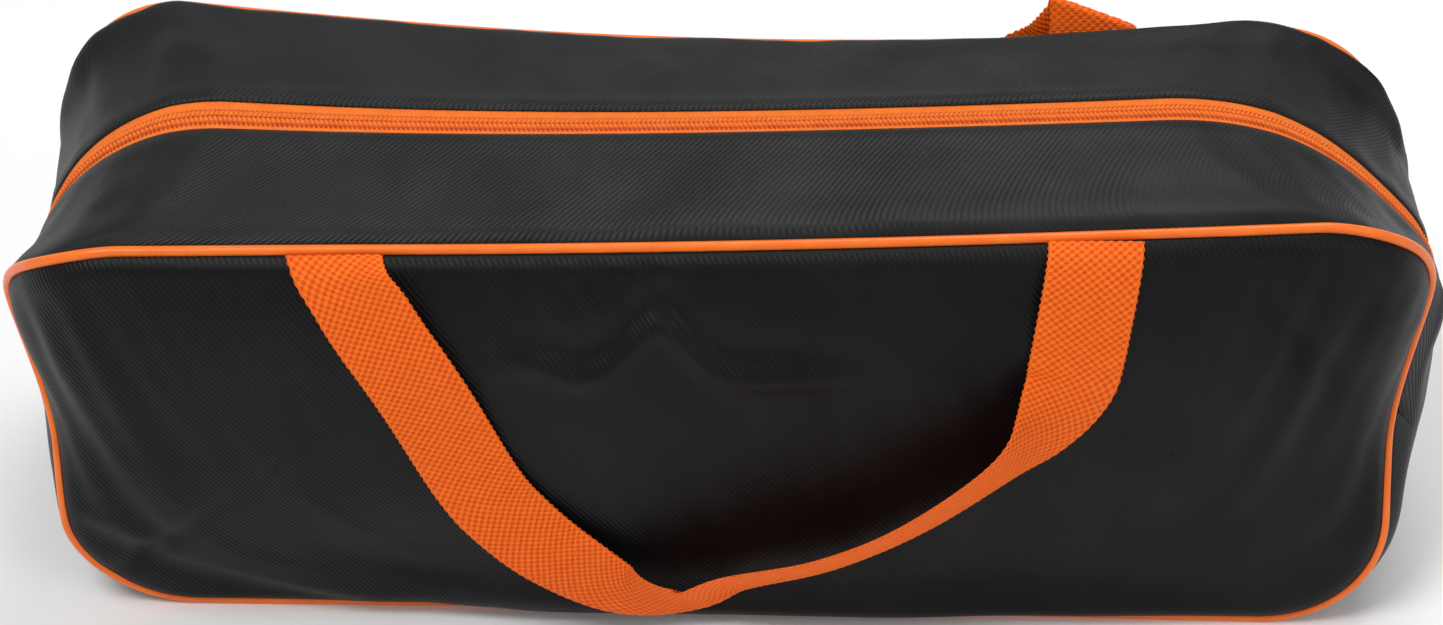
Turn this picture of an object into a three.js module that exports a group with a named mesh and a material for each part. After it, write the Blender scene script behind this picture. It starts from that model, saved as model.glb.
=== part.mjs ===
// A zip-top fabric sandbag: a piped, box-shaped bag with a zip across its top, two webbing
// handles, and two sand-filled liner pouches inside.
// Millimetres, +Z up, the front panel faces -Y and the long side runs along X.
import * as THREE from "three";

// Shell
const HALF_LENGTH = 184; // seam loop, centre to end
const HALF_DEPTH = 53; // centre to the front and back seams
const HEIGHT = 130; // seam loop
const SEAM_CORNER = 34; // corner radius of the seam loops
const FABRIC = 0.8;
const GAP = 0.3; // clearance kept between touching pieces
const PANEL_BULGE = 14;

// The gusset swells between its two seams
const TOP_SWELL = 8.8;
const LEFT_SWELL = 8;
const RIGHT_SWELL = 16;
const LEFT_SLUMP = 58; // corner radius at mid depth, where the empty top corners slump
const RIGHT_SLUMP = 82;

// Trim
const PIPING_RADIUS = 1.45;
const BINDING_WIDTH = 9;
const BINDING_THICKNESS = 1;
const INSIDE_SLACK = 2.4; // between the gusset's inner face and the bindings
const ZIP_DEPTH = -4.2; // Y of the coil's centre line
const TAPE_WIDTH_FRONT = 3;
const TAPE_WIDTH_BACK = 4;
const COIL_WIDTH = 5.4;
const COIL_HEIGHT = 1.6;

// Handles
const WEB_WIDTH = 25;
const WEB_THICKNESS = 1.5;

// Slider
const SLIDER_LENGTH = 11;
const SLIDER_WIDTH = 8.8;
const TAB_LENGTH = 24;
const TAB_WIDTH = 7;
const TAB_THICKNESS = 1.1;

const black = { color: 0x1d1f22, roughness: 0.7, metalness: 0 };
const orange = { color: 0xf06a1c, roughness: 0.35, metalness: 0 };
const webbing = { color: 0xf26f21, roughness: 0.8, metalness: 0 };
const plated = { color: 0xb9bcc0, roughness: 0.35, metalness: 1 };
const liner = { color: 0x2b2d30, roughness: 0.8, metalness: 0 };

const clamp = THREE.MathUtils.clamp;
const smooth = (from, to, value) => THREE.MathUtils.smoothstep(value, from, to);

const part = new THREE.Group();

function add(name, geometry, look) {
  const mesh = new THREE.Mesh(geometry, new THREE.MeshStandardMaterial(look));
  mesh.name = name;
  part.add(mesh);
  return mesh;
}

// --- The bag's shape -------------------------------------------------------------------

// How far the gusset has swollen at depth v, from 0 at the seams (v = -1 and 1) to 1.
const swell = (v) => Math.sqrt(Math.max(0, 1 - Math.abs(v) ** 2.2));

// Shares of the way round the outline: half the base, corner, end, corner, top, and back.
const ARC = (Math.PI / 2) * SEAM_CORNER;
const SIDE = HEIGHT - 2 * SEAM_CORNER;
const TOP = 2 * (HALF_LENGTH - SEAM_CORNER);
const RUNS = [TOP / 2, ARC, SIDE, ARC, TOP, ARC, SIDE, ARC, TOP / 2];
const ROUND = RUNS.reduce((sum, run) => sum + run);
const STARTS = RUNS.map((_, i) => RUNS.slice(0, i).reduce((sum, run) => sum + run, 0) / ROUND);
const END_SEAM = (TOP / 2 + ARC + SIDE / 2) / ROUND; // u of the right end seam

// The outline at depth v, a rounded rectangle in X and Z. u runs from the middle of the base
// towards +X, up the right end, back along the top and down the left end.
function outline(u, v, inset = 0) {
  const k = swell(v);
  const left = -(HALF_LENGTH + LEFT_SWELL * k) + inset;
  const right = HALF_LENGTH + RIGHT_SWELL * k - inset;
  const top = HEIGHT + TOP_SWELL * k - inset;
  const base = inset - PIPING_RADIUS * Math.min(1, 2 * k); // level with the piping's underside
  const low = SEAM_CORNER - inset;
  const slumpL = SEAM_CORNER + (LEFT_SLUMP - SEAM_CORNER) * k - inset;
  const slumpR = SEAM_CORNER + (RIGHT_SLUMP - SEAM_CORNER) * k - inset;
  const turn = THREE.MathUtils.euclideanModulo(u, 1);
  const run = STARTS.findLastIndex((start) => start <= turn);
  const f = ((turn - STARTS[run]) * ROUND) / RUNS[run];
  const mix = THREE.MathUtils.lerp;
  const arc = (x, z, r, from) => {
    const angle = from + (f * Math.PI) / 2;
    return [x + r * Math.cos(angle), z + r * Math.sin(angle)];
  };
  return [
    () => [mix(0, right - low, f), base],
    () => arc(right - low, base + low, low, -Math.PI / 2),
    () => [right, mix(base + low, top - slumpR, f)],
    () => arc(right - slumpR, top - slumpR, slumpR, 0),
    () => [mix(right - slumpR, left + slumpL, f), top],
    () => arc(left + slumpL, top - slumpL, slumpL, Math.PI / 2),
    () => [left, mix(top - slumpL, base + low, f)],
    () => arc(left + low, base + low, low, Math.PI),
    () => [mix(left + low, 0, f), base],
  ][run]();
}

// The filled bag is no true box: its upper ends stand out as ears, its top sags between them,
// its top corners lean inwards, and its top and base are turned a little against each other.
function settle(x, y, z) {
  const s = x / HALF_LENGTH;
  const t = z / HEIGHT;
  const v = y / HALF_DEPTH;
  const seam = v * v;
  const end = smooth(0.5, 1, Math.abs(s));
  const frontLeft = x < 0 && v < 0;
  const frontRight = x > 0 && v < 0;
  const waist = Math.sin(Math.PI * clamp(t / 0.8, 0, 1));
  const ear = smooth(0.42, 0.8, t) * (frontLeft ? 9 : 7) - waist * (frontLeft ? 0.5 : 1);
  const foot = frontRight ? 1.5 * (1 - smooth(0, 0.5, t)) : 0;
  const corner = clamp((Math.abs(x) - (HALF_LENGTH - SEAM_CORNER)) / SEAM_CORNER, 0, 1.15) ** 3;
  const lean = v > 0 ? -6 : x > 0 ? 15 : 22;
  const taper = v > 0 ? 8 : 5.7;
  const turned = (x > 0 ? 6 : 3.6) * (1 - smooth(0, 0.45, t));
  const sag = (2.5 + 6 * smooth(-0.6, 1, v)) * Math.max(0, 1 - (s / 0.82) ** 2);
  const tilt = -2.4 * (1 - seam) * (1 - smooth(-0.6, 0.5, s));
  const low = 1 - smooth(0.1, x > 0 ? 0.46 : 0.42, t);
  const bellyEnd = end * (1 - seam) * low * (x > 0 ? 13 : 4);
  return new THREE.Vector3(
    x + Math.sign(x) * (end * seam * (ear + foot) - bellyEnd),
    y + corner * smooth(0.2, 0.78, t) * seam * lean - taper * v * s * t - turned * s,
    z + tilt * smooth(0.2, 0.6, t) - sag * t * t - (frontLeft ? end * seam * t : 0),
  );
}

// A point of the gusset, a distance in from its outer face.
function gusset(u, v, inset = 0) {
  const [x, z] = outline(u, v, inset);
  return settle(x, v * HALF_DEPTH, z);
}

// A point of the front (side -1) or back (side 1) panel's outer face. size runs from 0 at the
// middle to 1 at the seam.
function panel(u, size, side, inset = 0) {
  const [x, z] = outline(u, side);
  const middle = HEIGHT / 2;
  const point = settle(x * size, side * HALF_DEPTH, middle + (z - middle) * size);
  const belly = PANEL_BULGE * Math.sqrt(Math.max(0, 1 - size ** 2.4));
  point.y += side * (belly - inset);
  return point;
}

// --- Closed solids from rings of points ------------------------------------------------

// Joins rings of equally many points. Each ring goes round the solid, and the solid either
// closes on itself or is capped at both ends.
function loft(rings, closed, cap) {
  const count = rings[0].length;
  const points = rings.flat();
  const faces = [];
  const quad = (a, b, c, d) => faces.push(a, b, c, a, c, d);
  const spans = closed ? rings.length : rings.length - 1;
  for (let i = 0; i < spans; i++) {
    const here = i * count;
    const next = ((i + 1) % rings.length) * count;
    for (let j = 0; j < count; j++) {
      const k = (j + 1) % count;
      quad(here + j, next + j, next + k, here + k);
    }
  }
  if (!closed) {
    for (const [start, flip] of [[0, false], [(rings.length - 1) * count, true]]) {
      const close = (a, b, c) => {
        faces.push(...(flip ? [start + c, start + b, start + a] : [start + a, start + b, start + c]));
      };
      cap(count, close);
    }
  }
  const geometry = new THREE.BufferGeometry().setFromPoints(points);
  geometry.setIndex(faces);
  return outward(geometry);
}

// Caps for a ring that runs along one face of a strip and back along the other.
function stripCap(count, close) {
  for (let j = 0; j < count / 2 - 1; j++) {
    const across = count - 1 - j;
    close(j, j + 1, across - 1);
    close(j, across - 1, across);
  }
}

// A cap for a ring that is convex.
function fanCap(count, close) {
  for (let j = 1; j < count - 1; j++) close(0, j, j + 1);
}

// Turns the faces out if the solid's signed volume is negative.
function outward(geometry) {
  const at = geometry.getAttribute("position");
  const index = geometry.getIndex().array;
  const corner = [0, 1, 2].map(() => new THREE.Vector3());
  let volume = 0;
  for (let i = 0; i < index.length; i += 3) {
    corner.forEach((point, k) => point.fromBufferAttribute(at, index[i + k]));
    volume += corner[0].dot(corner[1].cross(corner[2]));
  }
  if (volume < 0) geometry.setIndex([...index].reverse());
  geometry.computeVertexNormals();
  return geometry;
}

const steps = (from, to, count) =>
  Array.from({ length: count + 1 }, (_, i) => from + ((to - from) * i) / count);

// A strip of sheet: place(u, w, depth) gives a point at w across it, depth into it.
function strip(us, ws, thickness, place, closed = false) {
  const back = [...ws].reverse();
  const rings = us.map((u) => [
    ...ws.map((w) => place(u, w, 0)),
    ...back.map((w) => place(u, w, thickness)),
  ]);
  return loft(rings, closed, stripCap);
}

// --- Shell -----------------------------------------------------------------------------

// u values with a step about every 36 mm on the straights and 4 on each corner
function aroundBetween(from, to) {
  const all = [];
  RUNS.forEach((run, i) => {
    const count = i % 2 ? 4 : Math.max(2, Math.round(run / 36));
    for (let k = 0; k < count; k++) all.push(STARTS[i] + ((run / ROUND) * k) / count);
  });
  if (to - from >= 1) return all;
  const twice = [...all.map((u) => u - 1), ...all];
  const inside = twice.filter((u) => u > from + 0.004 && u < to - 0.004);
  return [from, ...inside, to];
}

function panelSolid(side) {
  const us = aroundBetween(0, 1);
  const rim = 1 - (PIPING_RADIUS + GAP) / 66;
  const sizes = [rim, 0.9, 0.7, 0.42];
  const ring = (size, inset) => us.map((u) => panel(u, size, side, inset));
  const outer = sizes.map((size) => ring(size, 0)).reverse();
  const inner = sizes.map((size) => ring(size, FABRIC));
  return loft([...outer, ...inner], false, fanCap);
}

const gussetSolid = (from, to, vs) => strip(aroundBetween(from, to), vs, FABRIC, gusset);

const seamEdge = 1 - (PIPING_RADIUS + 2 * GAP) / HALF_DEPTH;
const depthAt = (y) => y / HALF_DEPTH;
const zipFront = ZIP_DEPTH - COIL_WIDTH / 2 - TAPE_WIDTH_FRONT;
const zipBack = ZIP_DEPTH + COIL_WIDTH / 2 + TAPE_WIDTH_BACK;
const seamGap = (2 * GAP) / ROUND;
// Places across the gusset; its pieces share them, so their facets line up
const FRONT_VS = [-seamEdge, -0.8, -0.5, depthAt(zipFront - GAP)];
const BACK_VS = [depthAt(zipBack + GAP), 0.5, 0.8, seamEdge];

function addShell() {
  add("front_panel", panelSolid(-1), black);
  add("back_panel", panelSolid(1), black);
  const zipFrom = END_SEAM + seamGap;
  const zipTo = 1 - zipFrom;
  add("zip_gusset_front", gussetSolid(zipFrom, zipTo, FRONT_VS), black);
  add("zip_gusset_back", gussetSolid(zipFrom, zipTo, BACK_VS), black);
  add("base_gusset", gussetSolid(-END_SEAM, END_SEAM, [...FRONT_VS, ...BACK_VS]), black);
}

// The bead stands at the seam, half outside the corner between the panel and the gusset.
function pipingSolid(side) {
  const sides = 6;
  const rings = aroundBetween(0, 1).map((u) => {
    const centre = gusset(u, side);
    const out = centre.clone().sub(gusset(u, side, 1)).setY(0).normalize();
    return steps(0, 2 * Math.PI, sides).slice(0, sides).map((angle) =>
      centre.clone()
        .addScaledVector(out, PIPING_RADIUS * Math.cos(angle))
        .add(new THREE.Vector3(0, PIPING_RADIUS * Math.sin(angle), 0)));
  });
  return loft(rings, true);
}

// A folded tape that covers the seam's raw edges inside, just behind the piping.
function bindingSolid(side) {
  const inset = FABRIC + GAP + INSIDE_SLACK;
  const edge = side * (1 - (PIPING_RADIUS + FABRIC + INSIDE_SLACK) / HALF_DEPTH);
  const inner = edge - (side * BINDING_THICKNESS) / HALF_DEPTH;
  const place = (u, w, depth) =>
    gusset(u, depth ? inner : edge, inset + PIPING_RADIUS + w * BINDING_WIDTH);
  return strip(aroundBetween(0, 1), [0, 1], 1, place, true);
}

// The same tape over an end seam, flat against the inside of the gusset.
function endBindingSolid(u) {
  const half = BINDING_WIDTH / 2 / ROUND;
  const vs = [-0.85, ...FRONT_VS.slice(1), ...BACK_VS.slice(0, -1), 0.85];
  const place = (v, w, depth) => gusset(u + w * half, v, FABRIC + INSIDE_SLACK + depth);
  return strip(vs, [-1, 1], BINDING_THICKNESS, place);
}

function addSeams() {
  add("front_piping", pipingSolid(-1), orange);
  add("back_piping", pipingSolid(1), orange);
  add("front_binding", bindingSolid(-1), black);
  add("back_binding", bindingSolid(1), black);
  add("end_binding_right", endBindingSolid(END_SEAM), black);
  add("end_binding_left", endBindingSolid(1 - END_SEAM), black);
}

// --- Zip -------------------------------------------------------------------------------

function addZip() {
  const from = END_SEAM + seamGap;
  const to = 1 - from;
  const us = aroundBetween(from, to);
  const coilFront = ZIP_DEPTH - COIL_WIDTH / 2;
  const coilBack = ZIP_DEPTH + COIL_WIDTH / 2;
  const band = (y0, y1, lift, thickness) => {
    const ys = [depthAt(y0), depthAt(y1)];
    return strip(us, ys, thickness, (u, v, depth) => gusset(u, v, depth - lift));
  };
  add("zip_tape_front", band(zipFront, coilFront - GAP, 0, FABRIC), orange);
  add("zip_tape_back", band(coilBack + GAP, zipBack, 0, FABRIC), orange);
  add("zip_coil", band(coilFront, coilBack, COIL_HEIGHT / 2, COIL_HEIGHT), orange);
}

// --- Handles ---------------------------------------------------------------------------

// Y of a strap's middle where it lies on the front (side -1) or back (side 1) panel.
function onPanel(x, z, side) {
  const size = Math.max(Math.abs(x) / HALF_LENGTH, Math.abs(z + 2 - HEIGHT / 2) / (HEIGHT / 2));
  const belly = PANEL_BULGE * Math.sqrt(Math.max(0, 1 - Math.min(1, size) ** 2.4));
  return settle(x, side * HALF_DEPTH, z).y + side * (belly + WEB_THICKNESS / 2 + 2 * GAP);
}

// Webbing along a route of [x, z, distance off the panel, roll in degrees]. At roll 0 it lies
// flat against the panel, and at 90 it stands straight out from it. A sewn end is cut level.
function strap(route, side, sewnEnds) {
  const last = route.length - 1;
  const middle = new THREE.CatmullRomCurve3(
    route.map(([x, z, off]) => new THREE.Vector3(x, onPanel(x, z, side) + side * off, z)),
    false, "centripetal");
  const rings = steps(0, 1, last * 3).map((t) => {
    const at = t * last;
    const i = Math.min(Math.floor(at), last - 1);
    const roll = THREE.MathUtils.lerp(route[i][3], route[i + 1][3], at - i);
    const point = middle.getPoint(t);
    const along = middle.getTangent(t);
    const out = new THREE.Vector3(0, side, 0);
    out.addScaledVector(along, -out.dot(along)).normalize();
    const across = out.clone().cross(along);
    const turn = THREE.MathUtils.degToRad(roll);
    const wide = across.multiplyScalar(Math.cos(turn)).addScaledVector(out, Math.sin(turn));
    const level = Math.max(...sewnEnds.map((end) => 1 - Math.abs(at - end * last)), 0);
    wide.lerp(new THREE.Vector3(Math.sign(wide.x), 0, 0), level);
    const thick = wide.clone().cross(along).normalize();
    const corner = (w, h) => point.clone()
      .addScaledVector(wide, (w * WEB_WIDTH) / 2)
      .addScaledVector(thick, (h * WEB_THICKNESS) / 2);
    return [corner(-1, -1), corner(1, -1), corner(1, 1), corner(-1, 1)];
  });
  return loft(rings, false, fanCap);
}

// Down the left leg, along the free run and up the right leg
const FRONT_ROUTE = [
  [-99, 124.8, 3.3, 0],
  [-93.9, 118, 3.4, 0],
  [-88.7, 108.4, 2.2, 0],
  [-82.7, 97.5, 1.2, 0],
  [-77, 85.5, 0.8, 0],
  [-66.3, 60, 0.6, 0],
  [-58, 46.8, 0.8, 0],
  [-45.5, 33, 1.8, 4],
  [-28, 20.8, 4.2, 17],
  [-10, 21.8, 8, 33],
  [3, 30, 9.4, 38],
  [27.4, 38.4, 10.4, 41],
  [51, 51.6, 10.6, 43],
  [74.5, 70, 9, 40],
  [86, 80.5, 5, 22],
  [91, 90.5, 2.2, 5],
  [92.3, 99, 1.4, 0],
  [93.6, 109, 1.6, 0],
  [94.9, 118, 2, 0],
  [96.2, 125.6, 2, 0],
];

// Behind, only the left end is sewn flat. The loop ends below the upright root.
const BACK_ROUTE = [
  [-92, 118, 1.2, 0],
  [-90, 110, 1.6, 0],
  [-86, 100, 1, 0],
  [-74, 76, 0.6, 0],
  [-58, 50, 2, -6],
  [-34, 34, 6, -30],
  [-6, 32, 10.5, -50],
  [22, 40, 11.5, -52],
  [48, 58, 11, -46],
  [66, 80, 8, -26],
  [82, 103, 5.5, -6],
];

// The right root stands up over the seam, up to the slanting crease where the loop folds down.
const ROOT_MIDDLE = 107; // X
const ROOT_FOOT = 118.6;
const ROOT_TOP = 129;
const ROOT_SLANT = 4.6; // the crease's rise towards the left, from its middle
const ROOT_LEAN = 0.12;

function rootSolid() {
  const half = WEB_WIDTH / 2;
  const foot = (w) => onPanel(ROOT_MIDDLE + w * half, ROOT_FOOT, 1) + 1.2;
  const y = (w) => THREE.MathUtils.lerp(foot(-1), foot(1), (w + 1) / 2);
  const place = (u, w, depth) => {
    const z = THREE.MathUtils.lerp(ROOT_FOOT, ROOT_TOP - w * ROOT_SLANT, u);
    const back = y(w) + ROOT_LEAN * (z - ROOT_FOOT) + depth - WEB_THICKNESS / 2;
    return new THREE.Vector3(ROOT_MIDDLE + w * half, back, z);
  };
  return strip([0, 1], [-1, 1], WEB_THICKNESS, place);
}

function addHandles() {
  add("front_handle", strap(FRONT_ROUTE, -1, [0, 1]), webbing);
  add("back_handle", strap(BACK_ROUTE, 1, [0]), webbing);
  add("back_handle_root", rootSolid(), webbing);
}

// --- Slider ----------------------------------------------------------------------------

// The slider runs on the round upper left corner of the zip, and is parked at its foot.
const zipSwell = swell(depthAt(ZIP_DEPTH));
const slumpRadius = SEAM_CORNER + (LEFT_SLUMP - SEAM_CORNER) * zipSwell;
const CORNER_X = slumpRadius - HALF_LENGTH - LEFT_SWELL * zipSwell;
const CORNER_Z = HEIGHT + TOP_SWELL * zipSwell - slumpRadius;
const ON_COIL = COIL_HEIGHT / 2 + 2 * GAP; // from the tape's face to the slider's roof
const ROOF = 1.3;
const FLANGE = 1;
const BRIDGE_WIDTH = 2.6;
const BRIDGE_LENGTH = 6.8;
const BRIDGE_RISE = 3.2;
const BRIDGE_BAR = 1.3;

// Extrudes a shape symmetrically about its own plane.
function slab(shape, depth) {
  const geometry = new THREE.ExtrudeGeometry(shape, { depth, bevelEnabled: false, curveSegments: 8 });
  return geometry.translate(0, 0, -depth / 2);
}

// A channel over the coil, its profile in Y (along the shape's X) and outwards.
function sliderBody() {
  const half = SLIDER_WIDTH / 2;
  const inner = half - FLANGE;
  const roof = ON_COIL + ROOF;
  const shape = new THREE.Shape([
    [-half, GAP], [-inner, GAP], [-inner, ON_COIL], [inner, ON_COIL],
    [inner, GAP], [half, GAP], [half - 0.6, roof], [0.6 - half, roof],
  ].map(([x, y]) => new THREE.Vector2(x, y)));
  return slab(shape, SLIDER_LENGTH);
}

// The bridge that the tab hangs on: an arch along the slider.
function bridgeShape() {
  const half = BRIDGE_LENGTH / 2;
  const shape = new THREE.Shape();
  shape.moveTo(half, 0);
  shape.absellipse(0, 0, half, BRIDGE_RISE, 0, Math.PI, false, 0);
  shape.lineTo(BRIDGE_BAR - half, 0);
  shape.absellipse(0, 0, half - BRIDGE_BAR, BRIDGE_RISE - BRIDGE_BAR, Math.PI, 0, true, 0);
  shape.closePath();
  return shape;
}

// The tab, hanging from its crossbar at the shape's origin.
function tabShape() {
  const half = TAB_WIDTH / 2;
  const bar = TAB_THICKNESS / 2;
  const shape = new THREE.Shape();
  shape.moveTo(-half, bar);
  shape.lineTo(-half, half - TAB_LENGTH);
  shape.absarc(0, half - TAB_LENGTH, half, Math.PI, 2 * Math.PI, false);
  shape.lineTo(half, bar);
  shape.closePath();
  const window = new THREE.Path();
  const side = BRIDGE_WIDTH / 2 + 0.5;
  window.moveTo(-side, -bar);
  window.lineTo(side, -bar);
  window.lineTo(side, -bar - BRIDGE_RISE - 0.6);
  window.lineTo(-side, -bar - BRIDGE_RISE - 0.6);
  window.closePath();
  shape.holes.push(window);
  return shape;
}

function addSlider() {
  const slider = new THREE.Group();
  const start = settle(CORNER_X - slumpRadius, ZIP_DEPTH, CORNER_Z);
  slider.position.copy(start);
  // Local axes: X along the bag's Y, Y outwards (-X), Z up
  slider.rotation.set(0, 0, Math.PI / 2);
  part.add(slider);
  const roof = ON_COIL + ROOF;
  const place = (name, geometry, look) => {
    const mesh = add(name, geometry, look);
    slider.add(mesh);
    return mesh;
  };
  place("slider_body", sliderBody(), plated);
  const bridge = place("slider_bridge", slab(bridgeShape(), BRIDGE_WIDTH), plated);
  bridge.rotation.y = Math.PI / 2;
  bridge.position.y = roof + GAP / 3;
  const tab = place("pull_tab", slab(tabShape(), TAB_THICKNESS), plated);
  tab.rotation.x = Math.PI / 2;
  tab.position.y = roof + GAP / 3 + (BRIDGE_RISE - BRIDGE_BAR) / 2;
}

// --- Ballast ---------------------------------------------------------------------------

const POUCH_GAP = 8; // between the two pouches
const POUCH_LENGTH = 156;
const POUCH_SHIFT = 4; // the right end is the fuller one
const POUCH_DEPTH = 90;
const POUCH_SHOULDER = 104;
const NECK_RADIUS = 11;
const NECK_TOP = 121;
const TIE_RADIUS = 1.6;

// A full pouch with a gathered neck, built up in level rings.
function pouchSolid(middle) {
  const count = 20;
  const levels = [
    [1.5, 0.82, 3.5], [10, 0.93, 4], [40, 1, 4], [76, 0.99, 4], [94, 0.9, 3.5],
    [POUCH_SHOULDER, 0.6, 3], [110, 0.25, 2],
  ];
  const ring = (z, halfX, halfY, power) =>
    steps(0, 2 * Math.PI, count).slice(0, count).map((angle) => {
      const bend = (value) => Math.sign(value) * Math.abs(value) ** (2 / power);
      const x = middle + halfX * bend(Math.cos(angle));
      return new THREE.Vector3(x, halfY * bend(Math.sin(angle)), z);
    });
  const rings = levels.map(([z, size, power]) =>
    ring(z, (POUCH_LENGTH / 2) * size, (POUCH_DEPTH / 2) * size, power));
  for (const [z, radius] of [[112, NECK_RADIUS], [117, NECK_RADIUS], [NECK_TOP, 15]]) {
    rings.push(ring(z, radius, radius, 2));
  }
  return loft(rings, false, fanCap);
}

function addBallast() {
  const tieHeight = 114.5;
  for (const [name, side] of [["left", -1], ["right", 1]]) {
    const middle = POUCH_SHIFT + (side * (POUCH_LENGTH + POUCH_GAP)) / 2;
    add(`ballast_${name}`, pouchSolid(middle), liner);
    const ring = new THREE.TorusGeometry(NECK_RADIUS + GAP + TIE_RADIUS, TIE_RADIUS, 8, 24);
    const tie = add(`ballast_tie_${name}`, ring, orange);
    tie.position.set(middle, 0, tieHeight);
  }
}

addShell();
addSeams();
addZip();
addHandles();
addSlider();
addBallast();

// The origin is under the middle of the whole object.
const bounds = new THREE.Box3().setFromObject(part, true);
const centre = bounds.getCenter(new THREE.Vector3());
part.position.set(-centre.x, -centre.y, -bounds.min.z);

export default part;
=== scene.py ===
"""A zip-top fabric sandbag with orange piping and webbing handles, built around its CAD frame."""
import math

import bmesh
import bpy
import numpy as np
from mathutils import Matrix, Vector


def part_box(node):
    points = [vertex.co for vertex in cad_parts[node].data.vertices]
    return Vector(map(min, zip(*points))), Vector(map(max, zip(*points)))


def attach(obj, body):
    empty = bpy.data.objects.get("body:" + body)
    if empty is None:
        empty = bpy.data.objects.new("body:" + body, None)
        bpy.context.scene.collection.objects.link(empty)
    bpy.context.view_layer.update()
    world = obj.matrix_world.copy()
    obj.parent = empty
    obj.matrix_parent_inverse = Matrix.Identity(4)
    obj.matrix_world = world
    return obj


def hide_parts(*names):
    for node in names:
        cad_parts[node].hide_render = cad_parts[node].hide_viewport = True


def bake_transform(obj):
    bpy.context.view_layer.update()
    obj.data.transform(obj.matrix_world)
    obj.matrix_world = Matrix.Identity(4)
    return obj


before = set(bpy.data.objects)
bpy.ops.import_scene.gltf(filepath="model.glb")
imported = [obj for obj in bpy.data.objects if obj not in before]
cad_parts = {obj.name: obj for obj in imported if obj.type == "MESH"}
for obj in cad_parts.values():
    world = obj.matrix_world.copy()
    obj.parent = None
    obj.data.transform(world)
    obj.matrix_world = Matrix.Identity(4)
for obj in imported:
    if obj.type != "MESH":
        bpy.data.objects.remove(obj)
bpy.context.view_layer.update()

# --- Sizes, in millimetres, as in the CAD model -----------------------------------------

HALF_LENGTH = 184.0
HALF_DEPTH = 53.0
HEIGHT = 130.0
SEAM_CORNER = 34.0
FABRIC = 0.8
PANEL_BULGE = 14.0
TOP_SWELL = 8.8
LEFT_SWELL = 8.0
RIGHT_SWELL = 16.0
LEFT_SLUMP = 58.0
RIGHT_SLUMP = 82.0
PIPING_RADIUS = 1.45
ZIP_DEPTH = -4.2
ZIP_FRONT = 5.7  # from the coil's centre line to the front fabric's edge
ZIP_BACK = 6.7
WEB_WIDTH = 25.0
WEB_THICKNESS = 1.5
WEB_CLEARANCE = 0.6
POUCH_SHIFT = 4.0
TIE_HEIGHT = 114.5

# --- Sizes, steps and counts of the look alone, in millimetres ------------------------------

RIGHT_RISE = 4.5  # how far the right end stands out, and where
RIGHT_RISE_HEIGHT = 90
THREAD = 1.05  # pitch of the cloth's weave
TWILL = 1.6  # and of the faint diagonal lines in it
PANEL_STEP = 2.4
GUSSET_STEP = 4
PIPING_PLACES = 420
PIPING_SIDES = 12
ZIP_STEP = 0.3
TOOTH = 1.3  # pitch of the coil and its stitches

SETTLING_FRAMES = 22
POUCH_FRAMES = 20
POUCH_SHARE = 0.97  # of the CAD shape's size, from which a pouch swells
POUCH_VOXEL = 5.0
POUCH_LIMIT = 2.5

METRES = 0.001


def middle_of(node):
    low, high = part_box(node)
    return (np.array(low) + np.array(high)) / 2


# The CAD model is shifted so that its origin lies under the middle of its box.
TIES = (middle_of("ballast_tie_left") + middle_of("ballast_tie_right")) / 2
SHIFT = TIES - np.array([POUCH_SHIFT, 0, TIE_HEIGHT]) * METRES


def to_frame(points):
    return np.asarray(points) * METRES + SHIFT


# --- The bag's shape ----------------------------------------------------------------------

def smooth(low, high, value):
    t = np.clip((value - low) / (high - low), 0, 1)
    return t * t * (3 - 2 * t)


def hill(value, middle, width):
    return np.exp(-((value - middle) / width) ** 2)


def swell(v):
    return np.sqrt(np.clip(1 - np.abs(v) ** 2.2, 0, 1))


ARC = math.pi / 2 * SEAM_CORNER
SIDE = HEIGHT - 2 * SEAM_CORNER
TOP = 2 * (HALF_LENGTH - SEAM_CORNER)
RUNS = np.array([TOP / 2, ARC, SIDE, ARC, TOP, ARC, SIDE, ARC, TOP / 2])
ROUND = RUNS.sum()
STARTS = np.concatenate([[0], np.cumsum(RUNS)[:-1]]) / ROUND
END_SEAM = (TOP / 2 + ARC + SIDE / 2) / ROUND


def outline(u, v):
    """X and Z of the rounded outline at depth v; u runs round from the middle of the base."""
    u, v = np.broadcast_arrays(np.asarray(u, float), np.asarray(v, float))
    k = swell(v)
    left = -(HALF_LENGTH + LEFT_SWELL * k)
    right = HALF_LENGTH + RIGHT_SWELL * k
    top = HEIGHT + TOP_SWELL * k
    base = -PIPING_RADIUS * np.minimum(1, 2 * k)
    low = SEAM_CORNER
    slump_l = SEAM_CORNER + (LEFT_SLUMP - SEAM_CORNER) * k
    slump_r = SEAM_CORNER + (RIGHT_SLUMP - SEAM_CORNER) * k
    turn = np.mod(u, 1)
    run = np.searchsorted(STARTS, turn, side="right") - 1
    f = (turn - STARTS[run]) * ROUND / RUNS[run]

    def arc(x, z, r, start):
        angle = start + f * math.pi / 2
        return x + r * np.cos(angle), z + r * np.sin(angle)

    def line(x0, z0, x1, z1):
        return x0 + (x1 - x0) * f, z0 + (z1 - z0) * f

    pieces = [
        line(0, base, right - low, base),
        arc(right - low, base + low, low, -math.pi / 2),
        line(right, base + low, right, top - slump_r),
        arc(right - slump_r, top - slump_r, slump_r, 0),
        line(right - slump_r, top, left + slump_l, top),
        arc(left + slump_l, top - slump_l, slump_l, math.pi / 2),
        line(left, top - slump_l, left, base + low),
        arc(left + low, base + low, low, math.pi),
        line(left + low, base, 0, base),
    ]
    masks = [run == i for i in range(len(RUNS))]
    return (np.select(masks, [p[0] for p in pieces]),
            np.select(masks, [p[1] for p in pieces]))


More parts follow.
